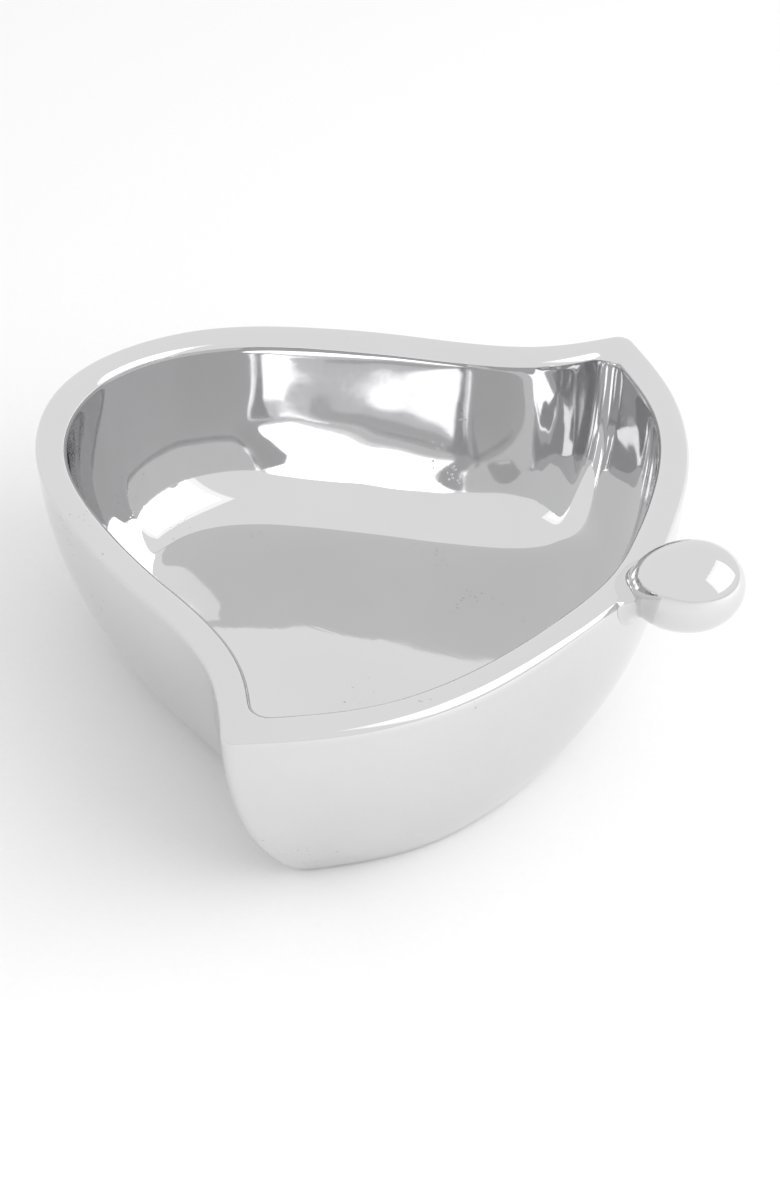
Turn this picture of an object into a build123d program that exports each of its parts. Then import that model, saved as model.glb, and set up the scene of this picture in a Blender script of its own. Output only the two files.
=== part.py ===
from build123d import *
import math
import os

# A polished cast sauce boat: a heart-plan bowl with a pour lip on each side, at +Y and -Y,
# and a pebble-shaped knob handle at +X.  The bowl and the knob are separate castings.  A
# dowel locates them, and a bead of filler metal round the knob's root joins them.
# Millimetres, +Z up.  The origin is on the table, under the middle of the boat's plan box.

# ---- driving dimensions: the bowl ----
bowl_height = 52.0
rim_width = 7.0            # thickness of the wall, seen as the flat rim
floor_thickness = 6.0
rim_outer_round = 1.4
rim_inner_round = 2.2
lip_round_outside = 3.0    # plan radius of the pour lips
lip_round_inside = 4.5

# half plan of the rim, from the handle side round a pour lip to the belly
handle_side = [(63.7, 0.0), (60.4, 22.4), (53.5, 44.8), (41.4, 64.4)]
lip_tip = (17.8, 84.3)
flank = [(4.1, 69.1), (-9.9, 61.3), (-28.1, 54.9), (-46.4, 47.2), (-63.1, 37.6), (-75.7, 25.0)]
belly = (-84.5, 0.0)
half_plan = handle_side + [lip_tip] + flank + [belly]
tip_index = len(handle_side)

# the foot is the rim drawn in towards a point behind the handle
foot_centre_x = 29.8
foot_share_handle = 0.567  # how much of the rim's size is left at each place
foot_share_lip = 0.765
foot_share_belly = 0.812
wall_fullness = 2.3        # how long the outer wall stays upright below the rim
heel_fullness = 1.15       # how roundly it turns under at the foot
outside_depths = [0, 0.3, 0.5, 0.7, 0.85, 0.94, 1]

# the inner wall is upright under the rim and leans in lower down, to a cove and a flat floor
cavity_depth = bowl_height - floor_thickness
inner_lean = 6.0
cove_width = 11.0
cove_sharpness = 5.0
inside_depths = [0, 0.1, 0.2, 0.32, 0.6, 0.8, 0.92, 0.98, 1]

# ---- driving dimensions: the knob and what holds it ----
knob_radius = 9.6
knob_nose = 11.2           # half-length outside its fattest place
knob_tail = 13.5           # half-length on the bowl's side, where the wall cuts it
knob_centre = (73.9, 2.1, bowl_height + 1.9)
knob_rise = 20.0           # degrees above level
knob_skew = 12.0           # degrees round from +X
bead_radius = 3.0          # concave fillet round the knob's root
root_block = (22.0, 34.0, 22.0)  # the part of the wall that the bead can reach
dowel_diameter = 4.0
dowel_length = 13.0
dowel_start = 15.8         # its inner end, measured back from the knob's centre
dowel_chamfer = 0.4


def foot_share(index):
    """How much of the rim's size the foot keeps at one place of the half plan."""
    if index <= tip_index:
        return foot_share_handle + (foot_share_lip - foot_share_handle) * index / tip_index
    along = (index - tip_index) / (len(half_plan) - 1 - tip_index)
    return foot_share_lip + (foot_share_belly - foot_share_lip) * along


def outside_points(depth):
    """Half plan of the outside, at a depth below the rim given as a share of the height."""
    turn_in = 1 - (1 - depth**wall_fullness) ** (1 / heel_fullness)
    points = []
    for index, (x, y) in enumerate(half_plan):
        share = 1 + (foot_share(index) - 1) * turn_in
        points.append((foot_centre_x + (x - foot_centre_x) * share, y * share))
    return points


def inset(points, distance):
    """The half plan moved inwards, square to itself, by a distance."""
    before_first = (points[1][0], -points[1][1])
    after_last = (points[-2][0], -points[-2][1])
    around = [before_first] + points + [after_last]
    moved = []
    for before, here, after in zip(around, points, around[2:]):
        back = (Vector(*before) - Vector(*here)).normalized()
        ahead = (Vector(*after) - Vector(*here)).normalized()
        inwards = (ahead - back).normalized().rotate(Axis.Z, 90)
        step = distance / abs(inwards.cross(ahead).Z)
        moved.append((here[0] + inwards.X * step, here[1] + inwards.Y * step))
    return moved


def inside_points(depth):
    """Half plan of the cavity, at a depth below the rim given as a share of its depth."""
    lean = inner_lean * depth**2
    cove = cove_width * (1 - math.sqrt(1 - depth**cove_sharpness))
    return inset(half_plan, rim_width + lean + cove)


def section(points, round_radius, height):
    """The closed plan drawn from its half, its two tips rounded, as a face at a height."""
    mirrored = [(x, -y) for x, y in points]
    handle_end = mirrored[tip_index:0:-1] + points[: tip_index + 1]
    belly_end = points[tip_index:] + mirrored[-2 : tip_index - 1 : -1]
    with BuildSketch(Plane.XY.offset(height)) as drawn:
        with BuildLine():
            Spline(*handle_end)
            Spline(*belly_end)
        make_face()
        fillet(drawn.vertices(), round_radius)
    return drawn.sketch.face()


outside_sections = []
for depth in outside_depths:
    height = bowl_height * (1 - depth)
    outside_sections.append(section(outside_points(depth), lip_round_outside, height))

inside_sections = []
for depth in inside_depths:
    height = bowl_height - cavity_depth * depth
    inside_sections.append(section(inside_points(depth), lip_round_inside, height))

# ---- dowel: runs along the knob's axis, from inside the wall into the knob ----
level_knob_axis = Vector(1, 0, 0).rotate(Axis.Y, -knob_rise)
knob_axis = level_knob_axis.rotate(Axis.Z, knob_skew)
knob_side = Vector(0, -1, 0).rotate(Axis.Z, knob_skew)
dowel_end = Vector(*knob_centre) - knob_axis * dowel_start

with BuildPart() as dowel:
    with BuildSketch(Plane(origin=dowel_end, z_dir=knob_axis)):
        Circle(dowel_diameter / 2)
    extrude(amount=dowel_length)
    chamfer(dowel.edges().filter_by(GeomType.CIRCLE), dowel_chamfer)

# ---- bowl: one casting, with its rim edges rolled ----
with BuildPart() as bowl:
    loft(sections=outside_sections)
    loft(sections=inside_sections, mode=Mode.SUBTRACT)
    crown = bowl.faces().sort_by(Axis.Z)[-1]
    fillet(crown.outer_wire().edges(), rim_outer_round)
    crown = bowl.faces().filter_by(GeomType.PLANE).sort_by(Axis.Z)[-1]
    fillet(crown.inner_wires()[0].edges(), rim_inner_round)

# the stretch of wall that the knob stands on, before it is drilled
with BuildPart() as root_wall:
    add(bowl.part)
    with Locations((handle_side[0][0], knob_centre[1], bowl_height)):
        Box(*root_block, mode=Mode.INTERSECT)

# ---- knob: an egg of revolution about its own axis ----
with BuildPart() as egg:
    with BuildSketch(Plane(origin=knob_centre, x_dir=knob_axis, z_dir=knob_side)):
        with BuildLine():
            EllipticalCenterArc((0, 0), knob_nose, knob_radius, start_angle=0, arc_size=90)
            EllipticalCenterArc((0, 0), knob_tail, knob_radius, start_angle=90, arc_size=90)
            Line((-knob_tail, 0), (knob_nose, 0))
        make_face()
    revolve(axis=Axis(knob_centre, knob_axis))

# ---- root bead: what a rolled fillet adds between the egg and the wall ----
with BuildPart() as root_bead:
    add(root_wall.part)
    add(egg.part)
    root_edges = new_edges(root_wall.part, egg.part, combined=root_bead.part)
    fillet(root_edges, bead_radius)
    add(egg.part, mode=Mode.SUBTRACT)
    add(root_wall.part, mode=Mode.SUBTRACT)

with BuildPart() as knob:
    add(egg.part)
    add(root_wall.part, mode=Mode.SUBTRACT)
    add(dowel.part, mode=Mode.SUBTRACT)

# the blind hole in the wall that takes the dowel
with BuildPart() as drilled_bowl:
    add(bowl.part)
    add(dowel.part, mode=Mode.SUBTRACT)

os.makedirs("parts", exist_ok=True)

drilled_bowl.part.label = "bowl"
export_step(drilled_bowl.part, "parts/bowl.step")

knob.part.label = "knob"
export_step(knob.part, "parts/knob.step")

root_bead.part.label = "root_bead"
export_step(root_bead.part, "parts/root_bead.step")

dowel.part.label = "dowel"
export_step(dowel.part, "parts/dowel.step")
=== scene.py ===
import math

import bmesh
import bpy
import numpy as np
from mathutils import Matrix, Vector


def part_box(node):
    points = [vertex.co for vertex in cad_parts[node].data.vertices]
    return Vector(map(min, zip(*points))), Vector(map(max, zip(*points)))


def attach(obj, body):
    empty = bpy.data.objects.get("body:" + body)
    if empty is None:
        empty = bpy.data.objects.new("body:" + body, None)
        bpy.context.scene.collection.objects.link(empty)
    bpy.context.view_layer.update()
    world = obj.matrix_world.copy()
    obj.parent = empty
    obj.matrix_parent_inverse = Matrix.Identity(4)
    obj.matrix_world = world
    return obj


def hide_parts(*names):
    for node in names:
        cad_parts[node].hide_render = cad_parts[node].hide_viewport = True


# A polished cast sauce boat on a pale table.  The bowl is remodelled as one smooth skin
# round the CAD bowl, and the knob, its root bead and the dowel keep their CAD shapes.

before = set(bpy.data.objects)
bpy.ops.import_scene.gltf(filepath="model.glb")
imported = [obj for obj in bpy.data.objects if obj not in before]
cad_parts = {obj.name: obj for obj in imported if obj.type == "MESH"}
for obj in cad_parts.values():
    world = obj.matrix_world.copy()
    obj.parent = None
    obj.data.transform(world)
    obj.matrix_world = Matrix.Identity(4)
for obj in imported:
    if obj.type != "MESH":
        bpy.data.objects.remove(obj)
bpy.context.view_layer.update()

MM = 0.001
bowl_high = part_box("bowl")[1]
knob_low, knob_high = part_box("knob")
RIM = bowl_high.z / MM            # height of the rim above the table, in millimetres

# ---- the bowl's own sizes, in millimetres, as the CAD bowl has them ----
HANDLE_SIDE = [(63.7, 0.0), (60.4, 22.4), (53.5, 44.8), (41.4, 64.4)]
LIP_TIP = (17.8, 84.3)
FLANK = [(4.1, 69.1), (-9.9, 61.3), (-28.1, 54.9), (-46.4, 47.2), (-63.1, 37.6), (-75.7, 25.0)]
BELLY = (-84.5, 0.0)
HALF_PLAN = HANDLE_SIDE + [LIP_TIP] + FLANK + [BELLY]
TIP = len(HANDLE_SIDE)
PLACES = len(HALF_PLAN)

RIM_WIDTH = 7.0
FLOOR = 5.2                       # at its middle; the floor is dished
DISH_RADIUS = 480.0
INNER_LEAN = 6.0                  # the inner wall is upright under the rim and leans in lower down
COVE_WIDTH = 11.0
COVE_SHARPNESS = 5.0
FLOOR_EDGE_INSET = RIM_WIDTH + INNER_LEAN + COVE_WIDTH
FLOOR_CENTRE_X = -6.0
FOOT_CENTRE_X = 29.8
FOOT_SHARE = (0.567, 0.765, 0.812)    # of the rim's size, at the handle, a lip and the belly
WALL_FULLNESS = 2.3
HEEL_FULLNESS = 1.15
LIP_ROUND_OUTSIDE = 3.0
LIP_ROUND_INSIDE = 4.5
# one for each place of the half plan: the rim's outer edge is rolled most softly on the handle
# side, and its inner edge along the flanks
OUTER_ROLL = [1.4, 1.8, 2.6, 2.6, 2.0, 1.5, 1.5, 1.5, 1.5, 1.5, 1.5, 1.5]
INNER_ROLL = [2.2, 2.2, 2.2, 2.4, 2.6, 2.8, 3.0, 3.2, 3.2, 3.0, 2.8, 2.6]

# ---- waves left by polishing: name, size across and height, in millimetres ----
WAVES = [("long_waves", 26.0, 0.3), ("short_waves", 9.0, 0.07)]
WAVE_FADE = 8.0                   # they grow to full height this far above the foot
HAND_WORKED = "polished_by_hand"  # the group's name: applying a modifier drops the group itself
ROOT_CLEAR = 14.0                 # round the knob's root the skin lies on the CAD wall
ROOT_FADE = 12.0

# ---- how finely the skin is drawn ----
HANDLE_COLUMNS = 33
BELLY_COLUMNS = 47
LIP_COLUMNS = 4
CROWDING = 0.6                    # how much closer the columns stand near the lips
SPLINE_POINTS = 600
NEAR_LIP = 14                     # of those points, how far from a lip its angle is read
FOOT_SHARES = (0.3, 0.6, 0.85, 0.95, 0.985)
WALL_DEPTHS = (0.995, 0.98, 0.955, 0.92, 0.87, 0.8, 0.72, 0.63, 0.54, 0.45, 0.35, 0.25, 0.15, 0.06)
ROLL_ANGLES = (0, 22, 45, 68, 90)
CROWN_SHARES = (0.3, 0.7)
CAVITY_DEPTHS = (0.06, 0.12, 0.2, 0.3, 0.4, 0.5, 0.61, 0.7, 0.78, 0.85, 0.905, 0.95, 0.98, 0.995)
FLOOR_SHARES = (0.98, 0.93, 0.85, 0.75, 0.62, 0.45, 0.25)
FIRST_CIRCLE = 0.02               # in metres; its edge moves to the first ring at once
SMOOTHING = 2
TRUED_SHARE = 0.9                 # of the floor's reach that is set on the dish

# ---- patterns in the materials; scales are per metre ----
LENGTHWAYS = {"stretch": (1.0, 0.06, 0.5), "turn": (0, 0, 24)}
CROSSWAYS = {"stretch": (0.08, 1.0, 0.6), "turn": (0, 12, -18)}
LINE_DETAIL = 3.0
LINE_PATCHES = 45.0               # patches where the buffing lines run one way or the other
PATCH_EDGE = (0.42, 0.58)
HAZE_CLOUDS = 28.0
HAZE_DETAIL = 4.0
HAZE_EDGE = (0.35, 0.7)
PIT_EDGE = (0.12, 0.3)
PIT_CLUSTERS = 38.0
PIT_THINNING = 260.0
THINNING_EDGE = (0.45, 0.6)
PLAIN_DETAIL = 2.0
FAINT_DETAIL = 1.0

# ---- how strongly the patterns show; bump distances are in millimetres ----
PIT_DARKNESS = 0.55
PIT_COVER = 0.5
PIT_ROUGHNESS = 0.25
DENT_HEIGHT = 0.05
LINE_HEIGHT = 0.003
PIT_HEIGHT = 0.012
METAL_BUMP = 0.5
TOOTH_HEIGHT = 0.05
TOOTH_BUMP = 0.3
TOOTH_PER_METRE = 700.0

# ---- table, camera and lights; angles in degrees, lengths in metres ----
TABLE_SIZE = 4.0
TABLE_DARK = (0.85, 0.85, 0.85)
TABLE_LIGHT = (0.875, 0.875, 0.875)
TABLE_SPECULAR = 0.2
TABLE_ROUGHNESS = 0.75
CAMERA_AIM = (22.7 * MM, -31.6 * MM, RIM * MM)
CAMERA_AZIMUTH = 31.9
CAMERA_ELEVATION = 39.5
CAMERA_DISTANCE = 0.430
CAMERA_LENS = 63.6
CAMERA_SENSOR = 36.0
CAMERA_CLIP = 0.01
LIGHT_AIM = (0, 0, 0.03)
ROOM_BRIGHTNESS = 0.98
MIRROR_BOUNCES = 12               # light is reflected many times inside the bowl


def along(index):
    """0 at the handle, 1 at a pour lip, 2 at the belly."""
    if index <= TIP:
        return index / TIP
    return 1 + (index - TIP) / (PLACES - 1 - TIP)


def foot_share(index):
    """How much of the rim's size the foot keeps at one place of the half plan."""
    return float(np.interp(along(index), (0, 1, 2), FOOT_SHARE))


def outside(depth):
    """Half plan of the outer wall, as 3-D points, at a share of the height below the rim."""
    turn_in = 1 - (1 - depth**WALL_FULLNESS) ** (1 / HEEL_FULLNESS)
    points = []
    for index, (x, y) in enumerate(HALF_PLAN):
        share = 1 + (foot_share(index) - 1) * turn_in
        points.append((FOOT_CENTRE_X + (x - FOOT_CENTRE_X) * share, y * share, RIM * (1 - depth)))
    return points


def inset(distances, heights):
    """The rim's half plan moved inwards by a distance at each of its points, at given heights."""
    flat = [Vector(p) for p in HALF_PLAN]
    around = [Vector((flat[1].x, -flat[1].y))] + flat + [Vector((flat[-2].x, -flat[-2].y))]
    points = []
    for index, here in enumerate(flat):
        back = (around[index] - here).normalized()
        ahead = (around[index + 2] - here).normalized()
        chord = (ahead - back).normalized()
        inwards = Vector((-chord.y, chord.x))
        step = distances[index] / abs(inwards.x * ahead.y - inwards.y * ahead.x)
        place = here + inwards * step
        points.append((place.x, place.y, heights[index]))
    return points


def spline(points, count):
    """A smooth line through points, as count points set evenly along it."""
    points = np.array(points, float)
    spans = np.linalg.norm(np.diff(points, axis=0), axis=1)
    knots = np.concatenate([[0], np.cumsum(spans)])
    size = len(points)
    system = np.eye(size)
    target = np.zeros_like(points)
    for i in range(1, size - 1):
        system[i, i - 1] = spans[i - 1]
        system[i, i] = 2 * (spans[i - 1] + spans[i])
        system[i, i + 1] = spans[i]
        rise = (points[i + 1] - points[i]) / spans[i] - (points[i] - points[i - 1]) / spans[i - 1]
        target[i] = 6 * rise
    bend = np.linalg.solve(system, target)
    at = np.linspace(0, knots[-1], count)
    span = np.clip(np.searchsorted(knots, at, side="right") - 1, 0, size - 2)
    width = spans[span][:, None]
    before = (knots[span + 1] - at)[:, None] / width
    after = 1 - before
    curve = before * points[span] + after * points[span + 1]
    curve += ((before**3 - before) * bend[span] + (after**3 - after) * bend[span + 1]) * width**2 / 6
    return curve


def resample(line, start, end, count):
    """count points between two distances along a line, closer together at its ends."""
    lengths = np.concatenate([[0], np.cumsum(np.linalg.norm(np.diff(line, axis=0), axis=1))])
    even = np.linspace(0, 1, count)
    eased = even - CROWDING * np.sin(2 * math.pi * even) / (2 * math.pi)
    at = start + (lengths[-1] - end - start) * eased
    return np.stack([np.interp(at, lengths, line[:, k]) for k in range(3)], axis=1)


def rounded(centre, start, end):
    """Points round a lip's centre, between the ends of the two lines that meet there."""
    lip = []
    for step in range(1, LIP_COLUMNS + 1):
        share = step / (LIP_COLUMNS + 1)
        from_start = (start - centre) * (1 - share)
        from_end = (end - centre) * share
        spoke = from_start + from_end
        reach = np.linalg.norm(from_start) + np.linalg.norm(from_end)
        lip.append(centre + spoke / np.linalg.norm(spoke) * reach)
    return lip


def ring(points, lip_round):
    """The closed line round the boat drawn from its half, with both lips rounded."""
    mirrored = [(x, -y, z) for x, y, z in points]
    handle = spline(mirrored[TIP:0:-1] + points[: TIP + 1], SPLINE_POINTS)
    belly = spline(points[TIP:] + mirrored[-2 : TIP - 1 : -1], SPLINE_POINTS)
    tip = np.array(points[TIP])
    down_handle = handle[-NEAR_LIP] - tip
    down_flank = belly[NEAR_LIP] - tip
    down_handle /= np.linalg.norm(down_handle)
    down_flank /= np.linalg.norm(down_flank)
    half_angle = math.acos(np.clip(down_handle @ down_flank, -1, 1)) / 2
    trim = lip_round / math.tan(half_angle)
    handle = resample(handle, trim, trim, HANDLE_COLUMNS)
    belly = resample(belly, trim, trim, BELLY_COLUMNS)
    middle = (down_handle + down_flank) / np.linalg.norm(down_handle + down_flank)
    centre = tip + middle * lip_round / math.sin(half_angle)
    lip = rounded(centre, handle[-1], belly[0])
    other_lip = [(x, -y, z) for x, y, z in lip[::-1]]
    return np.concatenate([handle, lip, belly, other_lip]) * MM


def shrunk(line, share, height):
    """A ring drawn in towards the middle of the floor, level at a height."""
    centre = np.array((FLOOR_CENTRE_X * MM, 0, 0))
    drawn_in = centre + (line - centre) * share
    drawn_in[:, 2] = height * MM
    return drawn_in


def dished(x, y):
    """Height of the floor's surface at a place in plan."""
    return FLOOR + ((x - FLOOR_CENTRE_X) ** 2 + y**2) / (2 * DISH_RADIUS)


def floor_edge():
    """Half plan of the floor's edge, at the foot of the cove."""
    return inset([FLOOR_EDGE_INSET] * PLACES, [0.0] * PLACES)


def outer_roll(angle):
    """A ring on the rim's outer roll, from 0 on the wall to 90 on the crown."""
    turn = math.radians(angle)
    distances = [roll * (1 - math.cos(turn)) for roll in OUTER_ROLL]
    heights = [RIM - roll * (1 - math.sin(turn)) for roll in OUTER_ROLL]
    return ring(inset(distances, heights), LIP_ROUND_OUTSIDE)


def crown(share):
    """A ring on the rim's flat crown, at a share of the way inwards."""
    distances = [o + (RIM_WIDTH - i - o) * share for o, i in zip(OUTER_ROLL, INNER_ROLL)]
    lip_round = LIP_ROUND_OUTSIDE + (LIP_ROUND_INSIDE - LIP_ROUND_OUTSIDE) * share
    return ring(inset(distances, [RIM] * PLACES), lip_round)


def inner_roll(angle):
    """A ring on the rim's inner roll, from 0 on the crown to 90 on the inner wall."""
    turn = math.radians(angle)
    distances = [RIM_WIDTH - roll * (1 - math.sin(turn)) for roll in INNER_ROLL]
    heights = [RIM - roll * (1 - math.cos(turn)) for roll in INNER_ROLL]
    return ring(inset(distances, heights), LIP_ROUND_INSIDE)


def cavity_wall(share):
    """A ring on the inner wall or its cove, at a share of the way down to the floor."""
    distances = []
    heights = []
    for roll, edge in zip(INNER_ROLL, floor_edge()):
        cavity = RIM - dished(edge[0], edge[1])
        depth = roll + (cavity - roll) * share
        lean = INNER_LEAN * (depth / cavity) ** 2
        cove = COVE_WIDTH * (1 - math.sqrt(1 - (depth / cavity) ** COVE_SHARPNESS))
        distances.append(RIM_WIDTH + lean + cove)
        heights.append(RIM - depth)
    return ring(inset(distances, heights), LIP_ROUND_INSIDE)


def floor_ring(edge, share):
    """A ring on the dished floor, at a share of its reach."""
    drawn_in = shrunk(edge, share, 0)
    drawn_in[:, 2] = dished(drawn_in[:, 0] / MM, drawn_in[:, 1] / MM) * MM
    return drawn_in


def bowl_rings():
    """Every ring of the bowl's skin, from the middle of the foot, over the rim, to the floor."""
    heel = ring(outside(1.0), LIP_ROUND_OUTSIDE)
    edge = ring(floor_edge(), LIP_ROUND_INSIDE)
    rings = [shrunk(heel, share, 0.0) for share in FOOT_SHARES]
    rings += [ring(outside(depth), LIP_ROUND_OUTSIDE) for depth in WALL_DEPTHS]
    rings += [outer_roll(angle) for angle in ROLL_ANGLES]
    rings += [crown(share) for share in CROWN_SHARES]
    rings += [inner_roll(angle) for angle in ROLL_ANGLES]
    rings += [cavity_wall(share) for share in CAVITY_DEPTHS]
    rings += [floor_ring(edge, share) for share in FLOOR_SHARES]
    return rings


def place_ring(skin, line):
    """Moves the vertices that are selected in edit mode to their places on a ring."""
    cage = bmesh.from_edit_mesh(skin.data)
    column = cage.verts.layers.int["column"]
    for vertex in cage.verts:
        if vertex.select:
            vertex.co = line[vertex[column]]
    bmesh.update_edit_mesh(skin.data)


def first_fan(line):
    """A closed fan at the middle of the foot, its edge numbered by column and set on a ring."""
    columns = len(line)
    bpy.ops.object.select_all(action="DESELECT")
    bpy.ops.mesh.primitive_circle_add(vertices=columns, radius=FIRST_CIRCLE, fill_type="TRIFAN")
    skin = bpy.context.active_object
    skin.name = "bowl_skin"
    bpy.ops.object.mode_set(mode="EDIT")
    bpy.ops.mesh.select_mode(type="VERT")
    cage = bmesh.from_edit_mesh(skin.data)
    column = cage.verts.layers.int.new("column")
    edge = [v for v in cage.verts if not all(e.is_manifold for e in v.link_edges)]
    edge.sort(key=lambda v: math.atan2(v.co.y, v.co.x) % (2 * math.pi))
    start = int(np.argmin(np.arctan2(line[:, 1], line[:, 0]) % (2 * math.pi)))
    for vertex in cage.verts:
        vertex.select = False
    for turn, vertex in enumerate(edge):
        vertex[column] = (start + turn) % columns
        vertex.select = True
    for middle in cage.verts:
        if not middle.select:
            middle.co = (FLOOR_CENTRE_X * MM, 0, 0)
    cage.select_flush(True)
    place_ring(skin, line)
    return skin


def make_bowl():
    """The bowl's skin: a fan at the foot, extruded ring by ring to the floor, then smoothed."""
    rings = bowl_rings()
    skin = first_fan(rings[0])
    for line in rings[1:]:
        bpy.ops.mesh.extrude_region_move()
        place_ring(skin, line)
    bpy.ops.mesh.extrude_region_move()
    bpy.ops.mesh.merge(type="CENTER")
    bpy.ops.mesh.select_all(action="SELECT")
    bpy.ops.mesh.normals_make_consistent(inside=False)
    bpy.ops.object.mode_set(mode="OBJECT")
    smooth = skin.modifiers.new("smooth", "SUBSURF")
    smooth.levels = SMOOTHING
    smooth.render_levels = SMOOTHING
    bpy.ops.object.modifier_apply(modifier=smooth.name)
    true_up_floor(skin, floor_outline())
    seat_of_knob(skin)
    hand_worked(skin)
    bpy.ops.object.shade_smooth()
    return skin


def floor_outline():
    """Bearings round the middle of the floor, and how far off its edge is at each."""
    edge = ring(floor_edge(), LIP_ROUND_INSIDE)
    out_x = edge[:, 0] - FLOOR_CENTRE_X * MM
    out_y = edge[:, 1]
    return np.arctan2(out_y, out_x), np.hypot(out_x, out_y)


def true_up_floor(skin, outline):
    """Sets the smoothed floor exactly on its dish, inside its edge."""
    for vertex in skin.data.vertices:
        out_x = vertex.co.x - FLOOR_CENTRE_X * MM
        out_y = vertex.co.y
        reach = np.interp(math.atan2(out_y, out_x), *outline, period=2 * math.pi)
        on_floor = FLOOR * MM / 2 < vertex.co.z < RIM * MM / 2
        if on_floor and math.hypot(out_x, out_y) < TRUED_SHARE * reach:
            vertex.co.z = dished(vertex.co.x / MM, vertex.co.y / MM) * MM


def off_root(place):
    """0 round the knob's root, and 1 well away from it."""
    root = Vector((HANDLE_SIDE[0][0] * MM, (knob_low.y + knob_high.y) / 2, RIM * MM))
    return min(1, max(0, ((place - root).length / MM - ROOT_CLEAR) / ROOT_FADE))


def seat_of_knob(skin):
    """Lays the skin on the CAD wall round the knob's root, so that the root bead meets it."""
    seat = skin.vertex_groups.new(name="seat_of_knob")
    for vertex in skin.data.vertices:
        seat.add([vertex.index], 1 - off_root(vertex.co), "REPLACE")
    wrap = skin.modifiers.new("seat", "SHRINKWRAP")
    wrap.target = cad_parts["bowl"]
    wrap.wrap_method = "NEAREST_SURFACEPOINT"
    wrap.vertex_group = seat.name
    bpy.ops.object.modifier_apply(modifier=wrap.name)


def hand_worked(skin):
    """Slow, shallow waves left by hand polishing, kept off the foot and the knob's root."""
    free = skin.vertex_groups.new(name=HAND_WORKED)
    for vertex in skin.data.vertices:
        above_foot = min(1, vertex.co.z / (WAVE_FADE * MM))
        free.add([vertex.index], above_foot * off_root(vertex.co), "REPLACE")
    for name, size, height in WAVES:
        texture = bpy.data.textures.new(name, "CLOUDS")
        texture.noise_scale = size * MM
        texture.noise_depth = 0
        texture.noise_basis = "IMPROVED_PERLIN"
        waves = skin.modifiers.new(name, "DISPLACE")
        waves.texture = texture
        waves.texture_coords = "LOCAL"
        waves.strength = height * MM
        waves.mid_level = 0.5
        waves.vertex_group = HAND_WORKED
        bpy.ops.object.modifier_apply(modifier=waves.name)


# ---- materials ----
def new_group(name, numbers, outputs):
    """An empty node group: its number inputs with their defaults, a vector, and its outputs."""
    group = bpy.data.node_groups.new(name, "ShaderNodeTree")
    place = group.interface.new_socket("Place", in_out="INPUT", socket_type="NodeSocketVector")
    place.hide_value = True
    for label, value in numbers.items():
        socket = group.interface.new_socket(label, in_out="INPUT", socket_type="NodeSocketFloat")
        socket.default_value = value
    for label in outputs:
        group.interface.new_socket(label, in_out="OUTPUT", socket_type="NodeSocketFloat")
    return group, group.nodes.new("NodeGroupInput"), group.nodes.new("NodeGroupOutput")


def maths(group, operation, first, second):
    """A maths node on two sockets or numbers."""
    node = group.nodes.new("ShaderNodeMath")
    node.operation = operation
    for socket, value in zip(node.inputs, (first, second)):
        if isinstance(value, (int, float)):
            socket.default_value = value
        else:
            group.links.new(value, socket)
    return node.outputs["Value"]


def noise(group, place, scale, detail, stretch=(1, 1, 1), turn=(0, 0, 0)):
    """A noise texture on a place, stretched and turned before it is read."""
    mapping = group.nodes.new("ShaderNodeMapping")
    mapping.inputs["Scale"].default_value = stretch
    mapping.inputs["Rotation"].default_value = [math.radians(angle) for angle in turn]
    group.links.new(place, mapping.inputs["Vector"])
    texture = group.nodes.new("ShaderNodeTexNoise")
    texture.inputs["Detail"].default_value = detail
    if isinstance(scale, (int, float)):
        texture.inputs["Scale"].default_value = scale
    else:
        group.links.new(scale, texture.inputs["Scale"])
    group.links.new(mapping.outputs["Vector"], texture.inputs["Vector"])
    return texture.outputs["Fac"]


def spread(group, value, edge, to_low=0.0, to_high=1.0):
    """A value's range, given by its low and high edge, laid smoothly over another range."""
    node = group.nodes.new("ShaderNodeMapRange")
    node.interpolation_type = "SMOOTHSTEP"
    node.inputs["From Min"].default_value = edge[0]
    node.inputs["From Max"].default_value = edge[1]
    node.inputs["To Min"].default_value = to_low
    node.inputs["To Max"].default_value = to_high
    group.links.new(value, node.inputs["Value"])
    return node.outputs["Result"]


def polishing_marks_group():
    """Fine lines from the buffing wheel in two directions, and the haze between them."""
    numbers = {"Lines per Metre": 900.0, "Haze": 0.5}
    group, given, made = new_group("polishing_marks", numbers, ("Marks", "Haze"))
    place = given.outputs["Place"]
    scale = given.outputs["Lines per Metre"]
    lengthways = noise(group, place, scale, LINE_DETAIL, **LENGTHWAYS)
    crossways = noise(group, place, scale, LINE_DETAIL, **CROSSWAYS)
    choice = spread(group, noise(group, place, LINE_PATCHES, PLAIN_DETAIL), PATCH_EDGE)
    other_choice = maths(group, "SUBTRACT", 1.0, choice)
    chosen = maths(group, "MULTIPLY", lengthways, choice)
    other_chosen = maths(group, "MULTIPLY", crossways, other_choice)
    lines = maths(group, "ADD", chosen, other_chosen)
    cloudy = spread(group, noise(group, place, HAZE_CLOUDS, HAZE_DETAIL), HAZE_EDGE)
    group.links.new(lines, made.inputs["Marks"])
    group.links.new(maths(group, "MULTIPLY", cloudy, given.outputs["Haze"]), made.inputs["Haze"])
    return group


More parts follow.
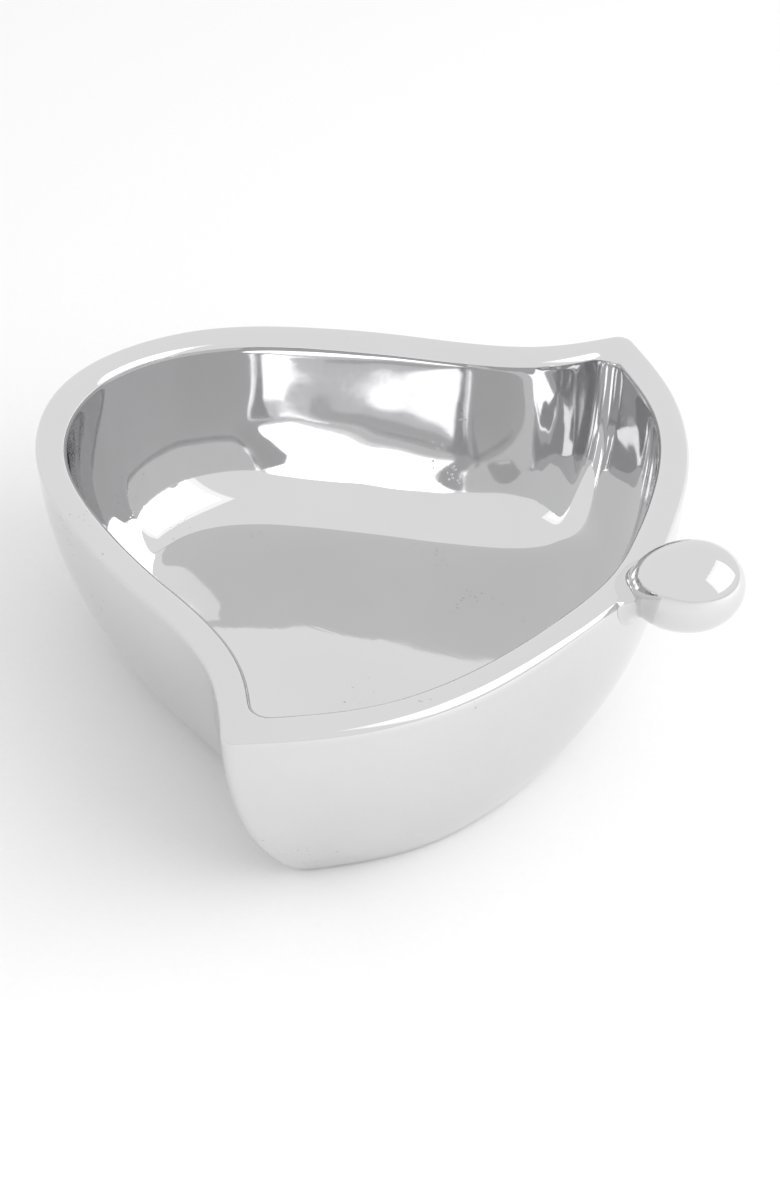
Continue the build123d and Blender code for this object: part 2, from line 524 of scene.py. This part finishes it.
def casting_pits_group():
    """Small pits left by the casting, in a few scattered clusters."""
    numbers = {"Pits per Metre": 900.0, "Rarity": 0.64}
    group, given, made = new_group("casting_pits", numbers, ("Pits",))
    place = given.outputs["Place"]
    cells = group.nodes.new("ShaderNodeTexVoronoi")
    cells.inputs["Randomness"].default_value = 1.0
    group.links.new(place, cells.inputs["Vector"])
    group.links.new(given.outputs["Pits per Metre"], cells.inputs["Scale"])
    pits = spread(group, cells.outputs["Distance"], PIT_EDGE, to_low=1.0, to_high=0.0)
    clusters = noise(group, place, PIT_CLUSTERS, PLAIN_DETAIL)
    few = maths(group, "GREATER_THAN", clusters, given.outputs["Rarity"])
    thinned = spread(group, noise(group, place, PIT_THINNING, FAINT_DETAIL), THINNING_EDGE)
    kept = maths(group, "MULTIPLY", few, thinned)
    group.links.new(maths(group, "MULTIPLY", pits, kept), made.inputs["Pits"])
    return group


def soft_dents_group():
    """Very shallow ripples, smaller than the waves in the shape itself."""
    group, given, made = new_group("soft_dents", {"Dents per Metre": 60.0}, ("Height",))
    dents = noise(group, given.outputs["Place"], given.outputs["Dents per Metre"], FAINT_DETAIL)
    group.links.new(dents, made.inputs["Height"])
    return group


def use_group(material, group, numbers):
    """A group placed in a material, reading the object's own coordinates."""
    tree = material.node_tree
    node = tree.nodes.new("ShaderNodeGroup")
    node.node_tree = group
    for label, value in numbers.items():
        node.inputs[label].default_value = value
    coordinates = tree.nodes.get("coordinates")
    if coordinates is None:
        coordinates = tree.nodes.new("ShaderNodeTexCoord")
        coordinates.name = "coordinates"
    tree.links.new(coordinates.outputs["Object"], node.inputs["Place"])
    return node


def bump(material, height, distance, strength, under=None):
    """A bump node over a height, in millimetres, laid on the bump under it."""
    tree = material.node_tree
    node = tree.nodes.new("ShaderNodeBump")
    node.inputs["Strength"].default_value = strength
    node.inputs["Distance"].default_value = distance * MM
    tree.links.new(height, node.inputs["Height"])
    if under is not None:
        tree.links.new(under, node.inputs["Normal"])
    return node.outputs["Normal"]


def mixed(tree, factor, first, second):
    """A mix node between two colours, of which the first may be a socket."""
    node = tree.nodes.new("ShaderNodeMix")
    node.data_type = "RGBA"
    tree.links.new(factor, node.inputs["Factor"])
    if isinstance(first, tuple):
        node.inputs["A"].default_value = (*first, 1)
    else:
        tree.links.new(first, node.inputs["A"])
    node.inputs["B"].default_value = (*second, 1)
    return node.outputs["Result"]


def mirror_metal(name, tint, haze_tint, lines, pits, dents, rough):
    """Bright cast metal: buffing lines, haze, pits and shallow dents over a mirror finish."""
    metal = bpy.data.materials.new(name)
    metal.use_nodes = True
    tree = metal.node_tree
    shader = tree.nodes["Principled BSDF"]
    shader.inputs["Metallic"].default_value = 1.0
    marks = use_group(metal, marks_group, {"Lines per Metre": lines}).outputs
    holes = use_group(metal, pits_group, {"Pits per Metre": pits}).outputs["Pits"]
    ripples = use_group(metal, dents_group, {"Dents per Metre": dents}).outputs["Height"]
    hazed = mixed(tree, marks["Haze"], tint, haze_tint)
    dark = [PIT_DARKNESS * part for part in tint]
    pitted = mixed(tree, maths(tree, "MULTIPLY", holes, PIT_COVER), hazed, dark)
    tree.links.new(pitted, shader.inputs["Base Color"])
    from_haze = maths(tree, "MULTIPLY", marks["Haze"], rough)
    from_marks = maths(tree, "MULTIPLY", marks["Marks"], rough)
    from_pits = maths(tree, "MULTIPLY", holes, PIT_ROUGHNESS)
    worn = maths(tree, "ADD", from_marks, from_haze)
    tree.links.new(maths(tree, "ADD", worn, from_pits), shader.inputs["Roughness"])
    normal = bump(metal, ripples, DENT_HEIGHT, METAL_BUMP)
    normal = bump(metal, marks["Marks"], LINE_HEIGHT, METAL_BUMP, normal)
    normal = bump(metal, maths(tree, "SUBTRACT", 1.0, holes), PIT_HEIGHT, METAL_BUMP, normal)
    tree.links.new(normal, shader.inputs["Normal"])
    return metal


def matt_paper():
    """The table: pale board with a faint tooth."""
    paper = bpy.data.materials.new("table")
    paper.use_nodes = True
    tree = paper.node_tree
    shader = tree.nodes["Principled BSDF"]
    shader.inputs["Specular IOR Level"].default_value = TABLE_SPECULAR
    shader.inputs["Roughness"].default_value = TABLE_ROUGHNESS
    tooth = use_group(paper, dents_group, {"Dents per Metre": TOOTH_PER_METRE}).outputs["Height"]
    tree.links.new(mixed(tree, tooth, TABLE_DARK, TABLE_LIGHT), shader.inputs["Base Color"])
    tree.links.new(bump(paper, tooth, TOOTH_HEIGHT, TOOTH_BUMP), shader.inputs["Normal"])
    return paper


# ---- stage ----
def direction(azimuth, elevation):
    """A unit vector: azimuth 0 is towards -Y and turns towards +X, in degrees."""
    turn = math.radians(azimuth)
    rise = math.radians(elevation)
    level = math.cos(rise)
    return Vector((math.sin(turn) * level, -math.cos(turn) * level, math.sin(rise)))


def look(thing, target):
    """Turns a camera or a light towards a place."""
    thing.rotation_euler = (target - thing.location).to_track_quat("-Z", "Y").to_euler()


def make_camera():
    """The camera, looking down on the near pour lip from the handle side."""
    aim = Vector(CAMERA_AIM)
    data = bpy.data.cameras.new("camera")
    camera = bpy.data.objects.new("camera", data)
    bpy.context.scene.collection.objects.link(camera)
    camera.location = aim + direction(CAMERA_AZIMUTH, CAMERA_ELEVATION) * CAMERA_DISTANCE
    look(camera, aim)
    data.lens = CAMERA_LENS
    data.sensor_width = CAMERA_SENSOR
    data.clip_start = CAMERA_CLIP
    bpy.context.scene.camera = camera


def softbox(name, azimuth, elevation, distance, width, height, radiance):
    """A rectangular soft light that faces the boat and looks equally bright at any size."""
    data = bpy.data.lights.new(name, "AREA")
    data.shape = "RECTANGLE"
    data.size = width
    data.size_y = height
    data.energy = radiance * math.pi * width * height
    light = bpy.data.objects.new(name, data)
    bpy.context.scene.collection.objects.link(light)
    target = Vector(LIGHT_AIM)
    light.location = target + direction(azimuth, elevation) * distance
    look(light, target)


def make_world(brightness):
    """The bright, even room that the metal reflects."""
    world = bpy.data.worlds.new("studio")
    world.use_nodes = True
    background = world.node_tree.nodes["Background"]
    background.inputs["Color"].default_value = (1, 1, 1, 1)
    background.inputs["Strength"].default_value = brightness
    bpy.context.scene.world = world


def make_table():
    """The flat table that the boat stands on."""
    bpy.ops.object.select_all(action="DESELECT")
    bpy.ops.mesh.primitive_plane_add(size=TABLE_SIZE)
    table = bpy.context.active_object
    table.name = "table"
    table.data.materials.append(matt_paper())


marks_group = polishing_marks_group()
pits_group = casting_pits_group()
dents_group = soft_dents_group()

make_camera()
make_world(ROOM_BRIGHTNESS)
softbox(
    "side_softbox", azimuth=103, elevation=37, distance=0.75, width=0.80, height=0.53, radiance=1.75)
softbox(
    "side_softbox_border", azimuth=102, elevation=38, distance=0.75, width=0.95, height=0.68,
    radiance=0.35)
bpy.context.scene.view_settings.view_transform = "Standard"
bpy.context.scene.cycles.glossy_bounces = MIRROR_BOUNCES
make_table()

casting = mirror_metal(
    "polished_casting", tint=(0.71, 0.71, 0.715), haze_tint=(0.675, 0.675, 0.678),
    lines=900.0, pits=700.0, dents=60.0, rough=0.06)
filler = mirror_metal(
    "filler_metal", tint=(0.66, 0.66, 0.66), haze_tint=(0.60, 0.60, 0.60),
    lines=1400.0, pits=1400.0, dents=240.0, rough=0.09)
steel = mirror_metal(
    "dowel_metal", tint=(0.52, 0.52, 0.53), haze_tint=(0.44, 0.44, 0.45),
    lines=2600.0, pits=1800.0, dents=90.0, rough=0.28)

bowl = make_bowl()
bowl.data.materials.append(casting)
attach(bowl, "root")
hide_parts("bowl")

for name, metal in (("knob", casting), ("root_bead", filler), ("dowel", steel)):
    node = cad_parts[name]
    node.data.materials.clear()
    node.data.materials.append(metal)
